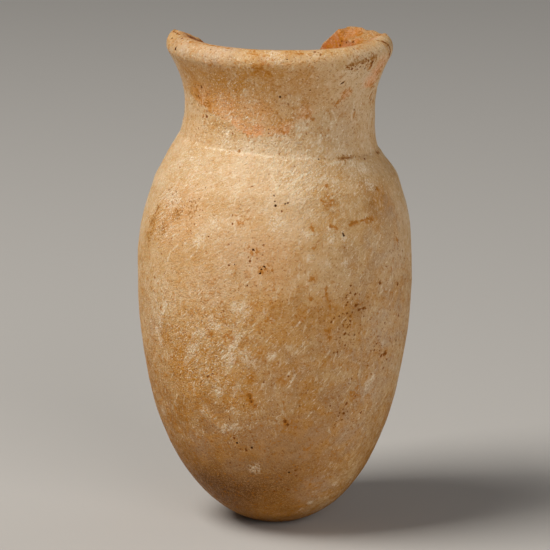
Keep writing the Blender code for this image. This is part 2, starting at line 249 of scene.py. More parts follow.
# Where the neck's brown stain is thick, and where iron has turned the stone peach
AMBER_AREAS = (
    (200, 84, 90, 1), (228, 82, 80, 1), (265, 72, 60, 1), (205, 103, 40, 1), (225, 110, 40, 0.8),
    (250, 100, 90, 0.6), (292, 95, 70, 0.6), (300, 76, 60, 0.6), (285, 120, 50, 0.7),
    (318, 98, 40, 0.5), (232, 118, 26, 0.6), (255, 122, 34, 0.55), (280, 124, 34, 0.55),
    (190, 362, 80, 0.6), (235, 357, 40, 0.35), (270, 358, 34, 0.25), (238, 386, 60, 0.55),
    (288, 446, 60, 0.15), (200, 315, 70, 0.3), (268, 316, 50, 0.35), (332, 314, 50, 0.3),
    (160, 225, 50, 0.5),
)
PEACH_AREAS = (
    (246, 133, 15, 1), (258, 131, 16, 1), (233, 126, 14, 0.7), (274, 133, 14, 0.6), (286, 130, 16, 0.8),
    (306, 115, 18, 0.6), (346, 95, 14, 0.7), (371, 82, 30, 1), (378, 70, 30, 1), (205, 100, 34, 0.4),
    (226, 110, 40, 0.5), (236, 124, 22, 0.7), (252, 114, 40, 0.35), (230, 250, 150, 0.12),
    (180, 215, 70, 0.3), (270, 265, 70, 0.25),
)
# Where the broken face is stained like the drilled wall
ORANGE_AREAS = (
    (338, 40, 24, 1), (350, 34, 22, 0.9), (357, 33, 12, 0.8), (356, 41, 12, 0.9),
)
# Places paler or more honeyed than the rest at that height
# Some are the stone's own tone, some painted shade along the right edge and under the base, some painted
# light low on the right.
TONE_AND_SHADING_AREAS = (
    (290, 205, 70, -0.12), (262, 150, 70, -0.12), (388, 210, 60, 0.22), (330, 218, 50, 0.14),
    (152, 226, 30, 0.12), (185, 192, 50, 0.12), (375, 188, 40, 0.12), (352, 222, 120, 0.15),
    (340, 182, 60, 0.1), (385, 160, 60, 0.2), (375, 130, 50, 0.12), (210, 310, 70, -0.14),
    (160, 290, 50, -0.12), (225, 372, 60, -0.08), (340, 318, 90, 0.14), (285, 318, 60, 0.08),
    (398, 370, 60, -0.2), (372, 420, 80, -0.2), (350, 470, 60, -0.36), (318, 508, 60, -0.36),
    (225, 488, 80, 0.22), (265, 70, 44, 0.24), (236, 50, 60, -0.1), (366, 76, 40, -0.25),
    (348, 76, 34, -0.34), (380, 206, 50, 0.22), (356, 138, 34, 0.2), (215, 150, 50, 0.18),
    (240, 384, 40, 0.16), (300, 446, 50, 0.16), (345, 478, 50, -0.22), (325, 502, 50, -0.25),
    (204, 476, 50, 0.06), (270, 474, 70, 0.16), (222, 496, 70, 0.06), (292, 492, 46, -0.06),
    (270, 514, 34, -0.2), (310, 440, 80, 0.08), (320, 490, 40, -0.12), (395, 230, 40, 0.14),
    (400, 285, 40, 0.12), (250, 440, 60, 0.1),
)
# How the colour darkens from the rim down: millimetres above the foot, and a tone from 0, which is cream
# It is the stone's own tone, with painted shade under the base near the foot.
TONE_AND_SHADING_COURSE = (
    (0, 1.25), (8, 1.22), (12, 1.05), (16, 0.92), (22, 0.82), (30, 0.7), (38, 0.58), (44, 0.46),
    (54, 0.32), (58, 0.23), (62, 0.2), (66, 0.3), (75, 0.3), (79, 0.5),
)
# Lower edge of the brown stain on the neck, from left to right
TIDE_LINE = (
    (188, 92), (200, 103), (215, 115), (230, 122), (240, 130), (247, 134.5), (262, 135), (275, 134),
    (285, 134), (292, 128), (300, 122), (320, 113), (338, 104), (350, 95), (362, 88), (375, 83),
)
# The broad marks by the measure of the mesh that they make
AREAS = {
    "flecks": FLECK_AND_GLINT_AREAS,
    "specks": SPECK_AREAS,
    "ash": ASH_AND_SHEEN_AREAS,
    "tone": TONE_AND_SHADING_AREAS,
    "amber": AMBER_AREAS,
    "peach": PEACH_AREAS,
    "orange": ORANGE_AREAS,
}
# Tone at which the colour is at its darkest
DEEPEST_TONE = 1.5
# Scales of the noises that make the grains and the gaps between them
GRAIN_SCALE = 5200.0
GAP_SCALE = 3400.0
# Colour that those gaps are multiplied by: darker grain and painted shade of the fine relief
GAP_SHADE_TINT = (0.62, 0.40, 0.20, 1.0)
# Heights over which the shoulder's smoother skin starts and ends, and the neck's stain ends under the lip
SHOULDER_STARTS = (40 * MM, 50 * MM)
SHOULDER_ENDS = (60 * MM, 66 * MM)
STAIN_ENDS = (75.5 * MM, 77.5 * MM)
# Marks strewn by chance over the hidden side: the seed, and the least and greatest radius of each kind
HIDDEN_SEED = 5
HIDDEN_PIT_RADII = (0.12 * MM, 0.24 * MM)
HIDDEN_STAIN_RADII = (0.3 * MM, 1.2 * MM)
HIDDEN_PATCH_RADII = (0.3 * MM, 1.3 * MM)
# Height above which they are strewn
HIDDEN_FROM = 4 * MM
# Height at which facets and dimples, which start at the foot, reach their full depth
HAND_MARKS_FULL = 3 * MM
# Where the broken face's roughness starts outside its edge and is full within it
FACE_EDGE = (-0.3 * MM, 0.1 * MM)
# How near its edge the stone is rubbed down
RUBBED_EDGE = 0.35 * MM
# The stage: each soft light's name, width, degrees to the right and up, and colour, and the rest
LIGHTS = (
    ("key", 0.50, (-70, 55), (1, 0.97, 0.93)),
    ("front", 0.60, (25, 20), (1, 0.98, 0.96)),
    ("side", 0.60, (115, 12), (0.95, 0.97, 1)),
)
SKY_COLOUR = (0.92, 0.95, 1, 1)
FLOOR_RADIUS = 4.0
# Nearest and farthest that the camera sees
CAMERA_REACH = (0.05, 20)
# Radius below which a stain or pale patch needs a finer mesh, and how far round a mark that mesh reaches
SMALL_MARK = 0.5 * MM
FINE_MARGIN = 0.32 * MM


def length(name, millimetres, description):
    """A property for a length, given here in millimetres and held in metres."""
    return bpy.props.FloatProperty(
        name=name,
        description=description,
        default=millimetres * MM,
        unit="LENGTH",
        precision=5,
    )


def amount(name, default, description):
    """A property for a plain number."""
    return bpy.props.FloatProperty(name=name, description=description, default=default, precision=3)


def whole_number(name, default, description, least=0):
    """A property for a whole number."""
    return bpy.props.IntProperty(name=name, description=description, default=default, min=least)


def in_degrees(name, degrees, description):
    """A property for an angle, given here in degrees."""
    return bpy.props.FloatProperty(
        name=name, description=description, default=math.radians(degrees), subtype="ANGLE"
    )


def slope(name, default, level):
    """A property for how a level of the form slopes."""
    description = f"How much the {level} rises for each metre towards +X and towards +Y"
    return bpy.props.FloatVectorProperty(name=name, description=description, default=default, size=2)


def colour(name, default, description):
    """A property for a colour."""
    return bpy.props.FloatVectorProperty(
        name=name, description=description, default=default, subtype="COLOR", size=3, min=0, max=1
    )


class JarForm(bpy.types.PropertyGroup):
    """Sizes of the carved form. Each rise is measured up from the level before it."""

    belly_rise: length("Belly rise", 40.9, "From the foot to the widest level")
    shoulder_rise: length("Shoulder rise", 15.5, "From there to the edge where the shoulder turns in")
    collar_rise: length("Collar rise", 6.0, "Up the shoulder's slope to the crease round the neck")
    neck_rise: length("Neck rise", 5.2, "From the crease to the narrowest level")
    lip_rise: length("Lip rise", 11.68, "From there to the top of the rim")
    foot_width: length("Foot width", 7.4, "Width of the flat that the jar stands on")
    belly_width: length("Belly width", (SOLID_HIGH.x - SOLID_LOW.x) / MM, "Width at the widest level")
    shoulder_width: length("Shoulder width", 38.8, "Width at the shoulder's edge")
    collar_width: length("Collar width", 31.3, "Width at the crease round the neck")
    neck_width: length("Neck width", 30.3, "Width at the neck's narrowest level")
    lip_width: length("Lip width", 36.0, "Width over the lip")
    lip_thickness: length("Lip thickness", 4.2, "Thickness of the rounded lip")
    neck_wall: length("Neck wall", 3.5, "Stone left round the drilled neck")
    belly_wall: length("Belly wall", 4.7, "Stone left round the drilled body")
    floor_thickness: length("Floor thickness", 6.6, "Stone left under the drilled hollow")
    low_offset: length("Low offset", -0.35, "How far the form leans aside below its belly")
    belly_offset: length("Belly offset", -0.2, "How far it leans aside at its belly")
    shoulder_offset: length("Shoulder offset", 0.07, "How far it leans aside at its shoulder")
    neck_offset: length("Neck offset", 0.6, "How far it leans aside at its neck")
    collar_tilt: slope("Collar tilt", (-0.060, -0.025), "crease")
    rim_tilt: slope("Rim tilt", (-0.015, 0.020), "rim")
    ring_drop: length("Ring drop", 0.55, "How far below the crease a fine ring is cut")
    ring_depth: length("Ring depth", 0.14, "Depth of that ring's groove")
    ring_tilt: slope("Ring tilt", (-0.077, -0.015), "ring")
    break_depth: length("Break depth", 8.5, "Depth of the break below the rim at its deepest")
    break_roughness: length("Break roughness", 0.42, "Height of the lumps of the broken face")
    break_lump: length("Break lump", 3.0, "Size of one lump of the broken face")


class JarSurface(bpy.types.PropertyGroup):
    """Fineness of the mesh, and how the hand and time left the surface."""

    sides: whole_number("Sides", 300, "Columns of faces round the jar", 24)
    corner_wear: whole_number("Corner wear", 5, "How often the shoulder's edge and the crease are rubbed")
    facet_depth: length("Facet depth", 0.10, "Unevenness left by hand grinding")
    facet_size: length("Facet size", 7.0, "Size of one ground facet")
    dimple_depth: length("Dimple depth", 0.030, "Depth of the small unevenness of the worn skin")
    dimple_size: length("Dimple size", 1.6, "Size of that unevenness")
    crumb_height: length("Crumb height", 0.22, "Height of the grains of the broken face")
    crumb_size: length("Crumb size", 1.1, "Size of those grains")
    edge_wear: whole_number("Edge wear", 3, "How often the edges of the break are rubbed")
    pit_depth: amount("Pit depth", 0.9, "Depth of a pit for its radius")
    cleft_depth: length("Cleft depth", 0.20, "Depth of the clefts")
    hidden_pits: whole_number("Pits out of view", 70, "Pits on the sides that the photograph hides")
    hidden_stains: whole_number("Stains out of view", 50, "Iron stains on those sides")
    hidden_patches: whole_number("Pale patches out of view", 50, "Pale patches on those sides")


class StoneColours(bpy.types.PropertyGroup):
    """Colours of the stone and of what has stained it; chalk, ash and umber also paint glints, a sheen and
    shade.
    """

    cream: colour("Cream", (0.735, 0.53, 0.32), "The palest stone, on the shoulder")
    honey: colour("Honey", (0.61, 0.365, 0.152), "The stone's middle tone")
    toffee: colour("Toffee", (0.385, 0.16, 0.022), "The darker stone below")
    # Under the base this deepest colour is partly stain, partly painted shade.
    umber_and_shade: colour("Umber", (0.14, 0.046, 0.003), "The deepest stain, under the base")
    # Chalk also paints glints on the crystals.
    chalk_and_glints: colour("Chalk", (0.92, 0.79, 0.58), "Pale crystal flecks and veins")
    # Ash also paints a sheen along the lip.
    ash: colour("Ash", (0.58, 0.42, 0.285), "Greyer clouds")
    amber: colour("Amber", (0.58, 0.255, 0.036), "The brown stain on the neck")
    peach: colour("Peach", (0.84, 0.38, 0.16), "Stone that iron has turned pink and orange")
    rust: colour("Rust", (0.47, 0.17, 0.015), "Iron stains")
    lining: colour("Lining", (0.44, 0.115, 0.018), "The drilled wall inside")
    brown: colour("Brown", (0.31, 0.10, 0.012), "Small dots and pores")
    earth: colour("Earth", (0.19, 0.055, 0.006), "Brown dirt in larger pores and clefts")
    soot: colour("Soot", (0.07, 0.018, 0.002), "The darkest pits")
    buff: colour("Buff", (0.52, 0.285, 0.12), "The broken face")


class StageSettings(bpy.types.PropertyGroup):
    """The view and the light."""

    aim: bpy.props.FloatVectorProperty(
        name="Aim",
        description="Point that the camera looks at",
        default=(-0.16 * MM, 0, 39.94 * MM),
        subtype="TRANSLATION",
        unit="LENGTH",
    )
    distance: length("Distance", 629.2, "From the camera to its aim")
    elevation: in_degrees("Elevation", 12.5, "Camera's angle above level")
    field: in_degrees("Field of view", 8, "Angle across the picture")
    floor_colour: colour("Floor colour", (0.50, 0.48, 0.45), "The plain floor")
    key_power: amount("Key power", 10.5, "Watts of the large soft light from the upper left")
    front_power: amount("Front power", 3.6, "Watts of the weaker light in front on the right")
    side_power: amount("Side power", 1.6, "Watts of the low light from the right")
    sky_strength: amount("Sky strength", 0.05, "Strength of the even light all round")


def follow(stops, where):
    """Values at where, an array, on a smooth line through stops, which are pairs of place and value."""
    places, values = np.array(stops, float).T
    before = np.clip(np.searchsorted(places, where) - 1, 0, len(places) - 2)
    share = np.clip((where - places[before]) / (places[before + 1] - places[before]), 0, 1)
    return values[before] + (values[before + 1] - values[before]) * share * share * (3 - 2 * share)


def ease(values, low, high):
    """0 below low, 1 above high and smooth between; the other way round if high is the lower."""
    share = np.clip((values - low) / (high - low), 0, 1)
    return share * share * (3 - 2 * share)


def lumps(points, size, seed):
    """Smooth noise between -1 and 1 at each point, with lumps of the given size."""
    shift = Vector((seed * 3.7, seed * 1.9, seed * 7.3))
    return np.array([noise.noise(Vector(point) / size + shift) for point in points])


def sweep(start, end, leave, arrive, steps):
    """Points of one smooth stretch of the outline, without its first point.

    leave and arrive are the lengths of the curve's handles, as shares of its run outwards and its rise.
    """
    run = end - start
    first = start + Vector((run.x * leave[0], run.y * leave[1]))
    last = end - Vector((run.x * arrive[0], run.y * arrive[1]))
    curve = interpolate_bezier(start, first, last, end, steps + 1)
    return [Vector((point.x, point.y)) for point in curve[1:]]


def rubbed(line, middle, times):
    """The line with the corner at one of its places rubbed round."""
    first, last = middle - times - 1, middle + times + 2
    softened = line.copy()
    for _ in range(times):
        softened[first:last] = (
            softened[first - 1 : last - 1] + 2 * softened[first:last] + softened[first + 1 : last + 1]
        ) / 4
    return softened


def levels_of(form):
    """Heights of the form's levels, and the middle and radius of the lip's rounded section."""
    belly = form.belly_rise
    shoulder = belly + form.shoulder_rise
    collar = shoulder + form.collar_rise
    neck = collar + form.neck_rise
    rim = neck + form.lip_rise
    lip_round = form.lip_thickness / 2
    lip_centre = Vector((form.lip_width / 2 - lip_round, rim - lip_round))
    heights = {"belly": belly, "shoulder": shoulder, "collar": collar, "neck": neck, "rim": rim}
    return SimpleNamespace(**heights, lip_round=lip_round, lip_centre=lip_centre)


def outline(form, levels, corner_wear):
    """The unbroken wall's outline, from the middle of the foot over the lip to the middle of the floor.

    It is an array of radius and height, and comes with the places in it of the crease, of the lip's outer
    and inner ends and of the bore's narrowest level.
    """

    def lip_point(degrees):
        angle = math.radians(degrees)
        return levels.lip_centre + levels.lip_round * Vector((math.cos(angle), math.sin(angle)))

    lip_start, lip_end, lip_steps = -28, 158, 20
    foot = Vector((form.foot_width / 2, 0))
    belly = Vector((form.belly_width / 2, levels.belly))
    shoulder = Vector((form.shoulder_width / 2, levels.shoulder))
    collar = Vector((form.collar_width / 2, levels.collar))
    neck = Vector((form.neck_width / 2, levels.neck))
    bore = Vector((form.neck_width / 2 - form.neck_wall, levels.neck))
    hollow = Vector((form.belly_width / 2 - form.belly_wall, levels.belly))
    floor = Vector((0, form.floor_thickness))
    body_line = [Vector((0, 0)), foot / 2, foot]
    body_line += sweep(foot, belly, (0.72, 0.084), (0, 0.425), 92)
    body_line += sweep(belly, shoulder, (0, 0.60), (0.42, 0.27), 32)
    corner = len(body_line) - 1
    body_line += sweep(shoulder, collar, (0.33, 0.33), (0.33, 0.33), 16)
    neck_line = sweep(collar, neck, (0.70, 0.48), (0, 0.60), 12)
    neck_line += sweep(neck, lip_point(lip_start), (0, 0.42), (0.46, 0.26), 24)
    lip_step = (lip_end - lip_start) / lip_steps
    lip_line = [lip_point(lip_start + lip_step * count) for count in range(1, lip_steps + 1)]
    bore_line = sweep(lip_point(lip_end), bore, (0.36, 0.22), (0, 0.45), 22)
    hollow_line = sweep(bore, hollow, (0, 0.30), (0, 0.42), 12)
    hollow_line += sweep(hollow, floor, (0, 0.50), (0.55, 0), 16)
    stretches = [body_line, neck_line, lip_line, bore_line, hollow_line]
    places = np.cumsum([len(stretch) for stretch in stretches[:4]]) - 1
    line = np.array([point for stretch in stretches for point in stretch])
    line = rubbed(line, corner, corner_wear)
    return rubbed(line, places[0], corner_wear), places


def lengths(line):
    """How far each point of a line lies along it."""
    steps = np.linalg.norm(np.diff(line, axis=0), axis=1)
    return np.concatenate(([0], np.cumsum(steps)))


def crossing(line, over, place):
    """Where the outline meets the broken face, between its points place and place + 1."""
    share = over[place] / (over[place] - over[place + 1])
    return line[place] + share * (line[place + 1] - line[place])


def broken_wall(form, levels, line, places, degrees):
    """The wall's outline at one angle round the neck, with what stood above the broken face gone.

    Its points keep their number and are spread anew over the shorter outline. It comes with each point's
    distance in from the nearer edge of the broken face, which is negative off the face.
    """
    collar, lip_out, lip_in, bore = places
    depth = form.break_depth * follow([(angle, share) for angle, share, _ in BREAK_COURSE], degrees)
    climb = follow([(angle, steepness) for angle, _, steepness in BREAK_COURSE], degrees)
    over = line[:, 1] - levels.rim + depth + climb * (line[:, 0] - levels.lip_centre.x)
    lost = np.flatnonzero(over > 0)
    if not len(lost):
        return line, np.full(len(line), -form.belly_width)
    first, last = lost[0], lost[-1]
    outer = crossing(line, over, first - 1)
    inner = crossing(line, over, last)
    kept = np.concatenate((line[:first], [outer, inner], line[last + 1 :]))
    old, new = lengths(line), lengths(kept)
    below = new[-1] - old[-1]
    stops = [0, old[collar], old[lip_out], old[lip_in], old[bore], old[-1]]
    moved = [
        0,
        old[collar],
        min(old[lip_out], new[first]),
        max(old[lip_in] + below, new[first + 1]),
        old[bore] + below,
        new[-1],
    ]
    along = np.interp(old, stops, moved)
    wall = np.stack((np.interp(along, new, kept[:, 0]), np.interp(along, new, kept[:, 1])), axis=1)
    return wall, np.minimum(along - new[first], new[first + 1] - along)


def by_hand(form, levels, points):
    """Moves points of the true turned form to where the carver's hand left them."""
    offsets = (
        (0, 0),
        (levels.belly / 2, form.low_offset),
        (levels.belly, form.belly_offset),
        (levels.shoulder, form.shoulder_offset),
        (levels.neck, form.neck_offset),
    )
    moved = points.copy()
    moved[:, 0] += follow(offsets, points[:, 2])
    for axis, (collar, rim) in enumerate(zip(form.collar_tilt, form.rim_tilt)):
        tilt = follow(((levels.shoulder, 0), (levels.collar, collar), (levels.rim, rim)), points[:, 2])
        moved[:, 2] += tilt * points[:, axis]
    return moved


def spun(line, sides):
    """The outline turned once round the axis, each point knowing its place in the outline."""
    shape = bmesh.new()
    station = shape.verts.layers.int.new("station")
    points = [shape.verts.new((radius, 0, height)) for radius, height in line]
    for place, point in enumerate(points):
        point[station] = place
    edges = [shape.edges.new(pair) for pair in zip(points, points[1:])]
    bmesh.ops.spin(
        shape,
        geom=points + edges,
        cent=(0, 0, 0),
        axis=(0, 0, 1),
        angle=math.tau,
        steps=sides,
        use_merge=True,
    )
    bmesh.ops.remove_doubles(shape, verts=shape.verts, dist=0.001 * MM)
    bmesh.ops.recalc_face_normals(shape, faces=shape.faces)
    return shape, station


class View:
    """The photograph's view: turns places in the picture into rays."""

    def __init__(self, stage):
        level, rise = math.cos(stage.elevation), math.sin(stage.elevation)
        self.ahead = Vector((0, level, -rise))
        self.up = Vector((0, rise, level))
        self.eye = Vector(stage.aim) - self.ahead * stage.distance
        self.focal = PHOTO_SIDE / 2 / math.tan(stage.field / 2)

    def ray(self, across, down):
        """Direction from the eye through a pixel."""
        aside = Vector(((across - PHOTO_SIDE / 2) / self.focal, 0, 0))
        return (self.ahead + aside + self.up * (PHOTO_SIDE / 2 - down) / self.focal).normalized()

    def pixel(self, point):
        """Size of one pixel at a point."""
        return (point - self.eye).dot(self.ahead) / self.focal


def coordinates(shape):
    """Places of the mesh's points, as an array."""
    return np.array([point.co for point in shape.verts])


def normals_of(shape):
    """Directions outwards at the mesh's points, as an array."""
    shape.normal_update()
    return np.array([point.normal for point in shape.verts])


def place_points(shape, points):
    """Moves the mesh's points to the places of an array."""
    for vertex, point in zip(shape.verts, points):
        vertex.co = point


def shaped(form, surface):
    """The jar's mesh with its break and the marks of the hand, before pits.

    Each point keeps two measures: inset, in from the edge of the broken face, and inside, 1 in the hollow.
    """
    levels = levels_of(form)
    line, places = outline(form, levels, surface.corner_wear)
    lip_top = (places[1] + places[2]) / 2
    shape, station = spun(line, surface.sides)
    inset_layer = shape.verts.layers.float.new("inset")
    inside_layer = shape.verts.layers.float.new("inside")
    walls = []
    for side in range(surface.sides):
        degrees = BREAK_COURSE[0][0] + (side * 360 / surface.sides - BREAK_COURSE[0][0]) % 360
        walls.append(broken_wall(form, levels, line, places, degrees))
    outlines = np.array([wall for wall, _ in walls])
    insets = np.array([inset for _, inset in walls])

    spun_points = coordinates(shape)
    turns = np.arctan2(spun_points[:, 1], spun_points[:, 0])
    sides = np.round(surface.sides * turns / math.tau).astype(int) % surface.sides
    stations = np.array([point[station] for point in shape.verts])
    radius, height = outlines[sides, stations].T
    inset = insets[sides, stations]
    inside = ease(stations, lip_top, places[2])
    points = np.stack((radius * np.cos(turns), radius * np.sin(turns), height), axis=1)

    broken = ease(inset, *FACE_EDGE)
    crumbs = lumps(points, surface.crumb_size, 1) + 0.7 * lumps(points, surface.crumb_size / 2, 2)
    points[:, 2] += broken * form.break_roughness * lumps(spun_points, form.break_lump, 0)
    points[:, 2] += broken * surface.crumb_height * crumbs
    points = by_hand(form, levels, points)

    place_points(shape, points)
    normals = normals_of(shape)
    grounded = ease(points[:, 2], 0, HAND_MARKS_FULL) * (1 - broken)
    facets = surface.facet_depth * (lumps(points, surface.facet_size, 3) - 0.6)
    facets += 0.4 * surface.facet_depth * (lumps(points, surface.facet_size / 2.3, 4) - 0.6)
    dimples = surface.dimple_depth * lumps(points, surface.dimple_size, 5)
    ring = ring_cut(form, levels, points) * (1 - inside)
    points += normals * (grounded * (facets + dimples + ring))[:, None]
    place_points(shape, points)

    for vertex, far_in, within in zip(shape.verts, inset, inside):
        vertex[inset_layer] = far_in
        vertex[inside_layer] = within
    worn = [vertex for vertex, far_in in zip(shape.verts, inset) if abs(far_in) < RUBBED_EDGE]
    for _ in range(surface.edge_wear):
        bmesh.ops.smooth_vert(
            shape, verts=worn, factor=0.5, use_axis_x=True, use_axis_y=True, use_axis_z=True
        )
    return shape


def ring_cut(form, levels, points):
    """How far the fine ring round the neck's foot stands out at each point: a groove over a low bead."""
    level = levels.collar - form.ring_drop + points[:, :2] @ np.array(form.ring_tilt)
    above = points[:, 2] - level
    groove = np.exp(-(((above - 0.25 * MM) / (0.30 * MM)) ** 2))
    bead = np.exp(-(((above + 0.35 * MM) / (0.35 * MM)) ** 2))
    uneven = 0.75 + 0.5 * lumps(points, 4 * MM, 6)
    return form.ring_depth * uneven * (0.5 * bead - groove)


def landed(tree, view, places):
    """Places of the photograph brought onto the surface."""
    course = []
    for across, down in places:
        point = tree.ray_cast(view.eye, view.ray(across, down))[0]
        if point is None:
            raise RuntimeError(f"the mark at {across}, {down} misses the jar")
        course.append(point)
    return np.array(course)


def marks_at(tree, view, spots, streaks=()):
    """Marks of the photograph as courses on the surface, each with its radius and strength."""
    pixel = view.pixel(Vector(tree.ray_cast(view.eye, view.ahead)[0]))
    courses = [([spot[:2]], *spot[2:]) for spot in spots] + list(streaks)
    return [(landed(tree, view, course), width * pixel / 2, share) for course, width, share in courses]


def distance_to(points, course):
    """Distance of each point from a course of straight pieces, or from its one point."""
    nearest = np.linalg.norm(points - course[0], axis=1)
    for start, end in zip(course, course[1:]):
        run = end - start
        along = np.clip((points - start) @ run / (run @ run), 0, 1)
        nearest = np.minimum(nearest, np.linalg.norm(points - start - along[:, None] * run, axis=1))
    return nearest


def laid(points, marks, core=0.2, edge=1.6):
    """How strongly broad marks cover each point.

    They do so fully within core times their radius, and not at all beyond edge times it.
    """
    cover = np.zeros(len(points))
    for course, radius, strength in marks:
        share = ease(distance_to(points, course), edge * radius, core * radius)
        cover = np.maximum(cover, strength * share)
    return cover


def summed(points, marks):
    """Broad soft marks added up, each falling off to a third at its radius."""
    cover = np.zeros(len(points))
    for course, radius, strength in marks:
        cover += strength * np.exp(-((distance_to(points, course) / radius) ** 2))
    return cover


def peaks(points, marks):
    """Small marks as cones: their strength in the middle, half of it at their radius and 0 at twice that.

    A round mark is moved to the point nearest to it, so that it keeps its full strength.
    """
    heights = np.zeros(len(points))
    for course, radius, strength in marks:
        away = distance_to(points, course)
        if len(course) == 1:
            away = distance_to(points, points[[away.argmin()]])
        heights = np.maximum(heights, strength * (1 - away / (2 * radius)))
    return heights


def strewn(points, hidden, chance, count, widths):
    """Marks by chance on the hidden side: so many of them, with radii between the two widths."""
    places = np.flatnonzero(hidden)
    marks = []
    for _ in range(count):
        place = places[chance.randrange(len(places))]
        marks.append((points[[place]], chance.uniform(*widths), chance.uniform(0.4, 1)))
    return marks


def refined(shape, marks):
    """Splits the faces under small marks so that the mesh can follow them."""
    shape.edges.ensure_lookup_table()
    middles = np.array([(edge.verts[0].co + edge.verts[1].co) / 2 for edge in shape.edges])
    near = np.zeros(len(middles), bool)
    for course, radius, _ in marks:
        near |= distance_to(middles, course) < radius + FINE_MARGIN
    edges = [shape.edges[place] for place in np.flatnonzero(near)]
    bmesh.ops.subdivide_edges(shape, edges=edges, cuts=2, use_grid_fill=True)


def pitted(shape, marks, depth):
    """Pushes the points under each mark in by depth times its radius."""
    points = coordinates(shape)
    normals = normals_of(shape)
    sunk = np.zeros(len(points))
    for course, radius, strength in marks:
        share = ease(distance_to(points, course), 1.1 * radius, 0.2 * radius)
        sunk = np.maximum(sunk, share * strength * depth * radius)
    place_points(shape, points - normals * sunk[:, None])


def tide_of(points, line):
    """Height above the lower edge of the neck's stain, which is a line of points round the neck."""
    turns = np.degrees(np.arctan2(line[:, 1], line[:, 0]))
    stops = sorted(zip(turns, line[:, 2]))
    behind = [(turns.min() + 360 - step, line[0, 2] - dip) for step, dip in ((90, 2 * MM), (45, 3 * MM))]
    stops += behind + [(stops[0][0] + 360, stops[0][1])]
    where = stops[0][0] + (np.degrees(np.arctan2(points[:, 1], points[:, 0])) - stops[0][0]) % 360
    return points[:, 2] - follow(stops, where)


def stained(mesh, shape, view, marks):
    """Gives the mesh the measures that its stone's colours follow."""
    points = coordinates(shape)
    normals = normals_of(shape)
    inset = np.array([point[shape.verts.layers.float["inset"]] for point in shape.verts])
    inside = np.array([point[shape.verts.layers.float["inside"]] for point in shape.verts])
    seen = ease(normals @ -np.array(view.ahead), -0.4, -0.1)
    course_tone_and_shading = follow(TONE_AND_SHADING_COURSE, points[:, 2] / MM)
    hidden_tone = 0.2 * lumps(points, 16 * MM, 14)

    def mixed(name, size, seed):
        """The marks of the photograph where it sees the stone, and soft clouds elsewhere."""
        cloud = np.clip(0.4 + 0.9 * lumps(points, size, seed), 0, 1)
        return seen * laid(points, marks[name]) + (1 - seen) * cloud

    measures = {
        "pits": peaks(points, marks["pits"]),
        "pores": peaks(points, marks["pores"]),
        "dirt": laid(points, marks["dirt"]),
        "rust": peaks(points, marks["rust"]),
        "pale": peaks(points, marks["pale"]),
        "flecks": mixed("flecks", 14 * MM, 11),
        "specks": mixed("specks", 12 * MM, 12),
        "ash": mixed("ash", 16 * MM, 13),
        # The tone measure holds the stone's own tone with painted shade under the base and at the right
        # edge, and painted light low on the right.
        "tone": course_tone_and_shading + seen * summed(points, marks["tone"]) + (1 - seen) * hidden_tone,
        "amber": mixed("amber", 12 * MM, 15),
        "peach": mixed("peach", 14 * MM, 16) * (0.4 + 0.6 * seen),
        "orange": laid(points, marks["orange"]),
        "tide": tide_of(points, marks["tide"]) / MM,
        "broken": ease(inset, -0.15 * MM, 0.1 * MM),
        "inside": inside,
    }
    for name, values in measures.items():
        attribute = mesh.attributes.new(name, "FLOAT", "POINT")
        attribute.data.foreach_set("value", values.astype(np.float32))


def join(tree, value, socket):
    """Feeds a socket from another socket, or sets it to a constant."""
    if isinstance(value, bpy.types.NodeSocket):
        tree.links.new(value, socket)
    else:
        socket.default_value = value


def add(tree, kind, feeds, **settings):
    """A new node with its settings made and its sockets, by name or place, fed."""
    node = tree.nodes.new(kind)
    for name, value in settings.items():
        setattr(node, name, value)
    for socket, value in feeds.items():
        join(tree, value, node.inputs[socket])
    return node


def reckon(tree, operation, *values):
    """The result of a sum on numbers or sockets."""
    return add(tree, "ShaderNodeMath", dict(enumerate(values)), operation=operation).outputs[0]


def vector_sum(tree, operation, feeds):
    """The result of a sum on vectors."""
    return add(tree, "ShaderNodeVectorMath", feeds, operation=operation).outputs[0]


def blend(tree, share, under, over, kind="MIX"):
    """One colour laid over another by a share, or multiplied by it."""
    feeds = {0: share, 6: under, 7: over}
    return add(tree, "ShaderNodeMix", feeds, data_type="RGBA", blend_type=kind).outputs[2]


def ramp(tree, value, colours):
    """The colour at a value on an even course from the first colour at 0 to the last at 1."""
    node = add(tree, "ShaderNodeValToRGB", {0: value})
    stops = node.color_ramp.elements
    while len(stops) < len(colours):
        stops.new(0.5)
    for place, colour in enumerate(colours):
        stops[place].position = place / (len(colours) - 1)
        stops[place].color = colour
    return node.outputs[0]


def between(tree, value, low, high, start=0.0, end=1.0):
    """The value taken smoothly from start at low to end at high."""
    feeds = {"Value": value, "From Min": low, "From Max": high, "To Min": start, "To Max": end}
    return add(tree, "ShaderNodeMapRange", feeds, interpolation_type="SMOOTHSTEP").outputs["Result"]


def mottle(tree, place, scale, detail, distortion=0.0):
    """Soft noise around a half, with about as many clouds to the metre as its scale says."""
    feeds = {"Vector": place, "Scale": scale, "Detail": detail, "Distortion": distortion}
    return add(tree, "ShaderNodeTexNoise", feeds).outputs["Fac"]


def new_group(name, **numbers):
    """An empty node group that turns a place and some numbers into an amount."""
    group = bpy.data.node_groups.new(name, "ShaderNodeTree")
    group.interface.new_socket("Place", in_out="INPUT", socket_type="NodeSocketVector")
    for title, usual in numbers.items():
        socket = group.interface.new_socket(title, in_out="INPUT", socket_type="NodeSocketFloat")
        socket.default_value = usual
    group.interface.new_socket("Amount", in_out="OUTPUT", socket_type="NodeSocketFloat")
    return group, group.nodes.new("NodeGroupInput").outputs, group.nodes.new("NodeGroupOutput").inputs


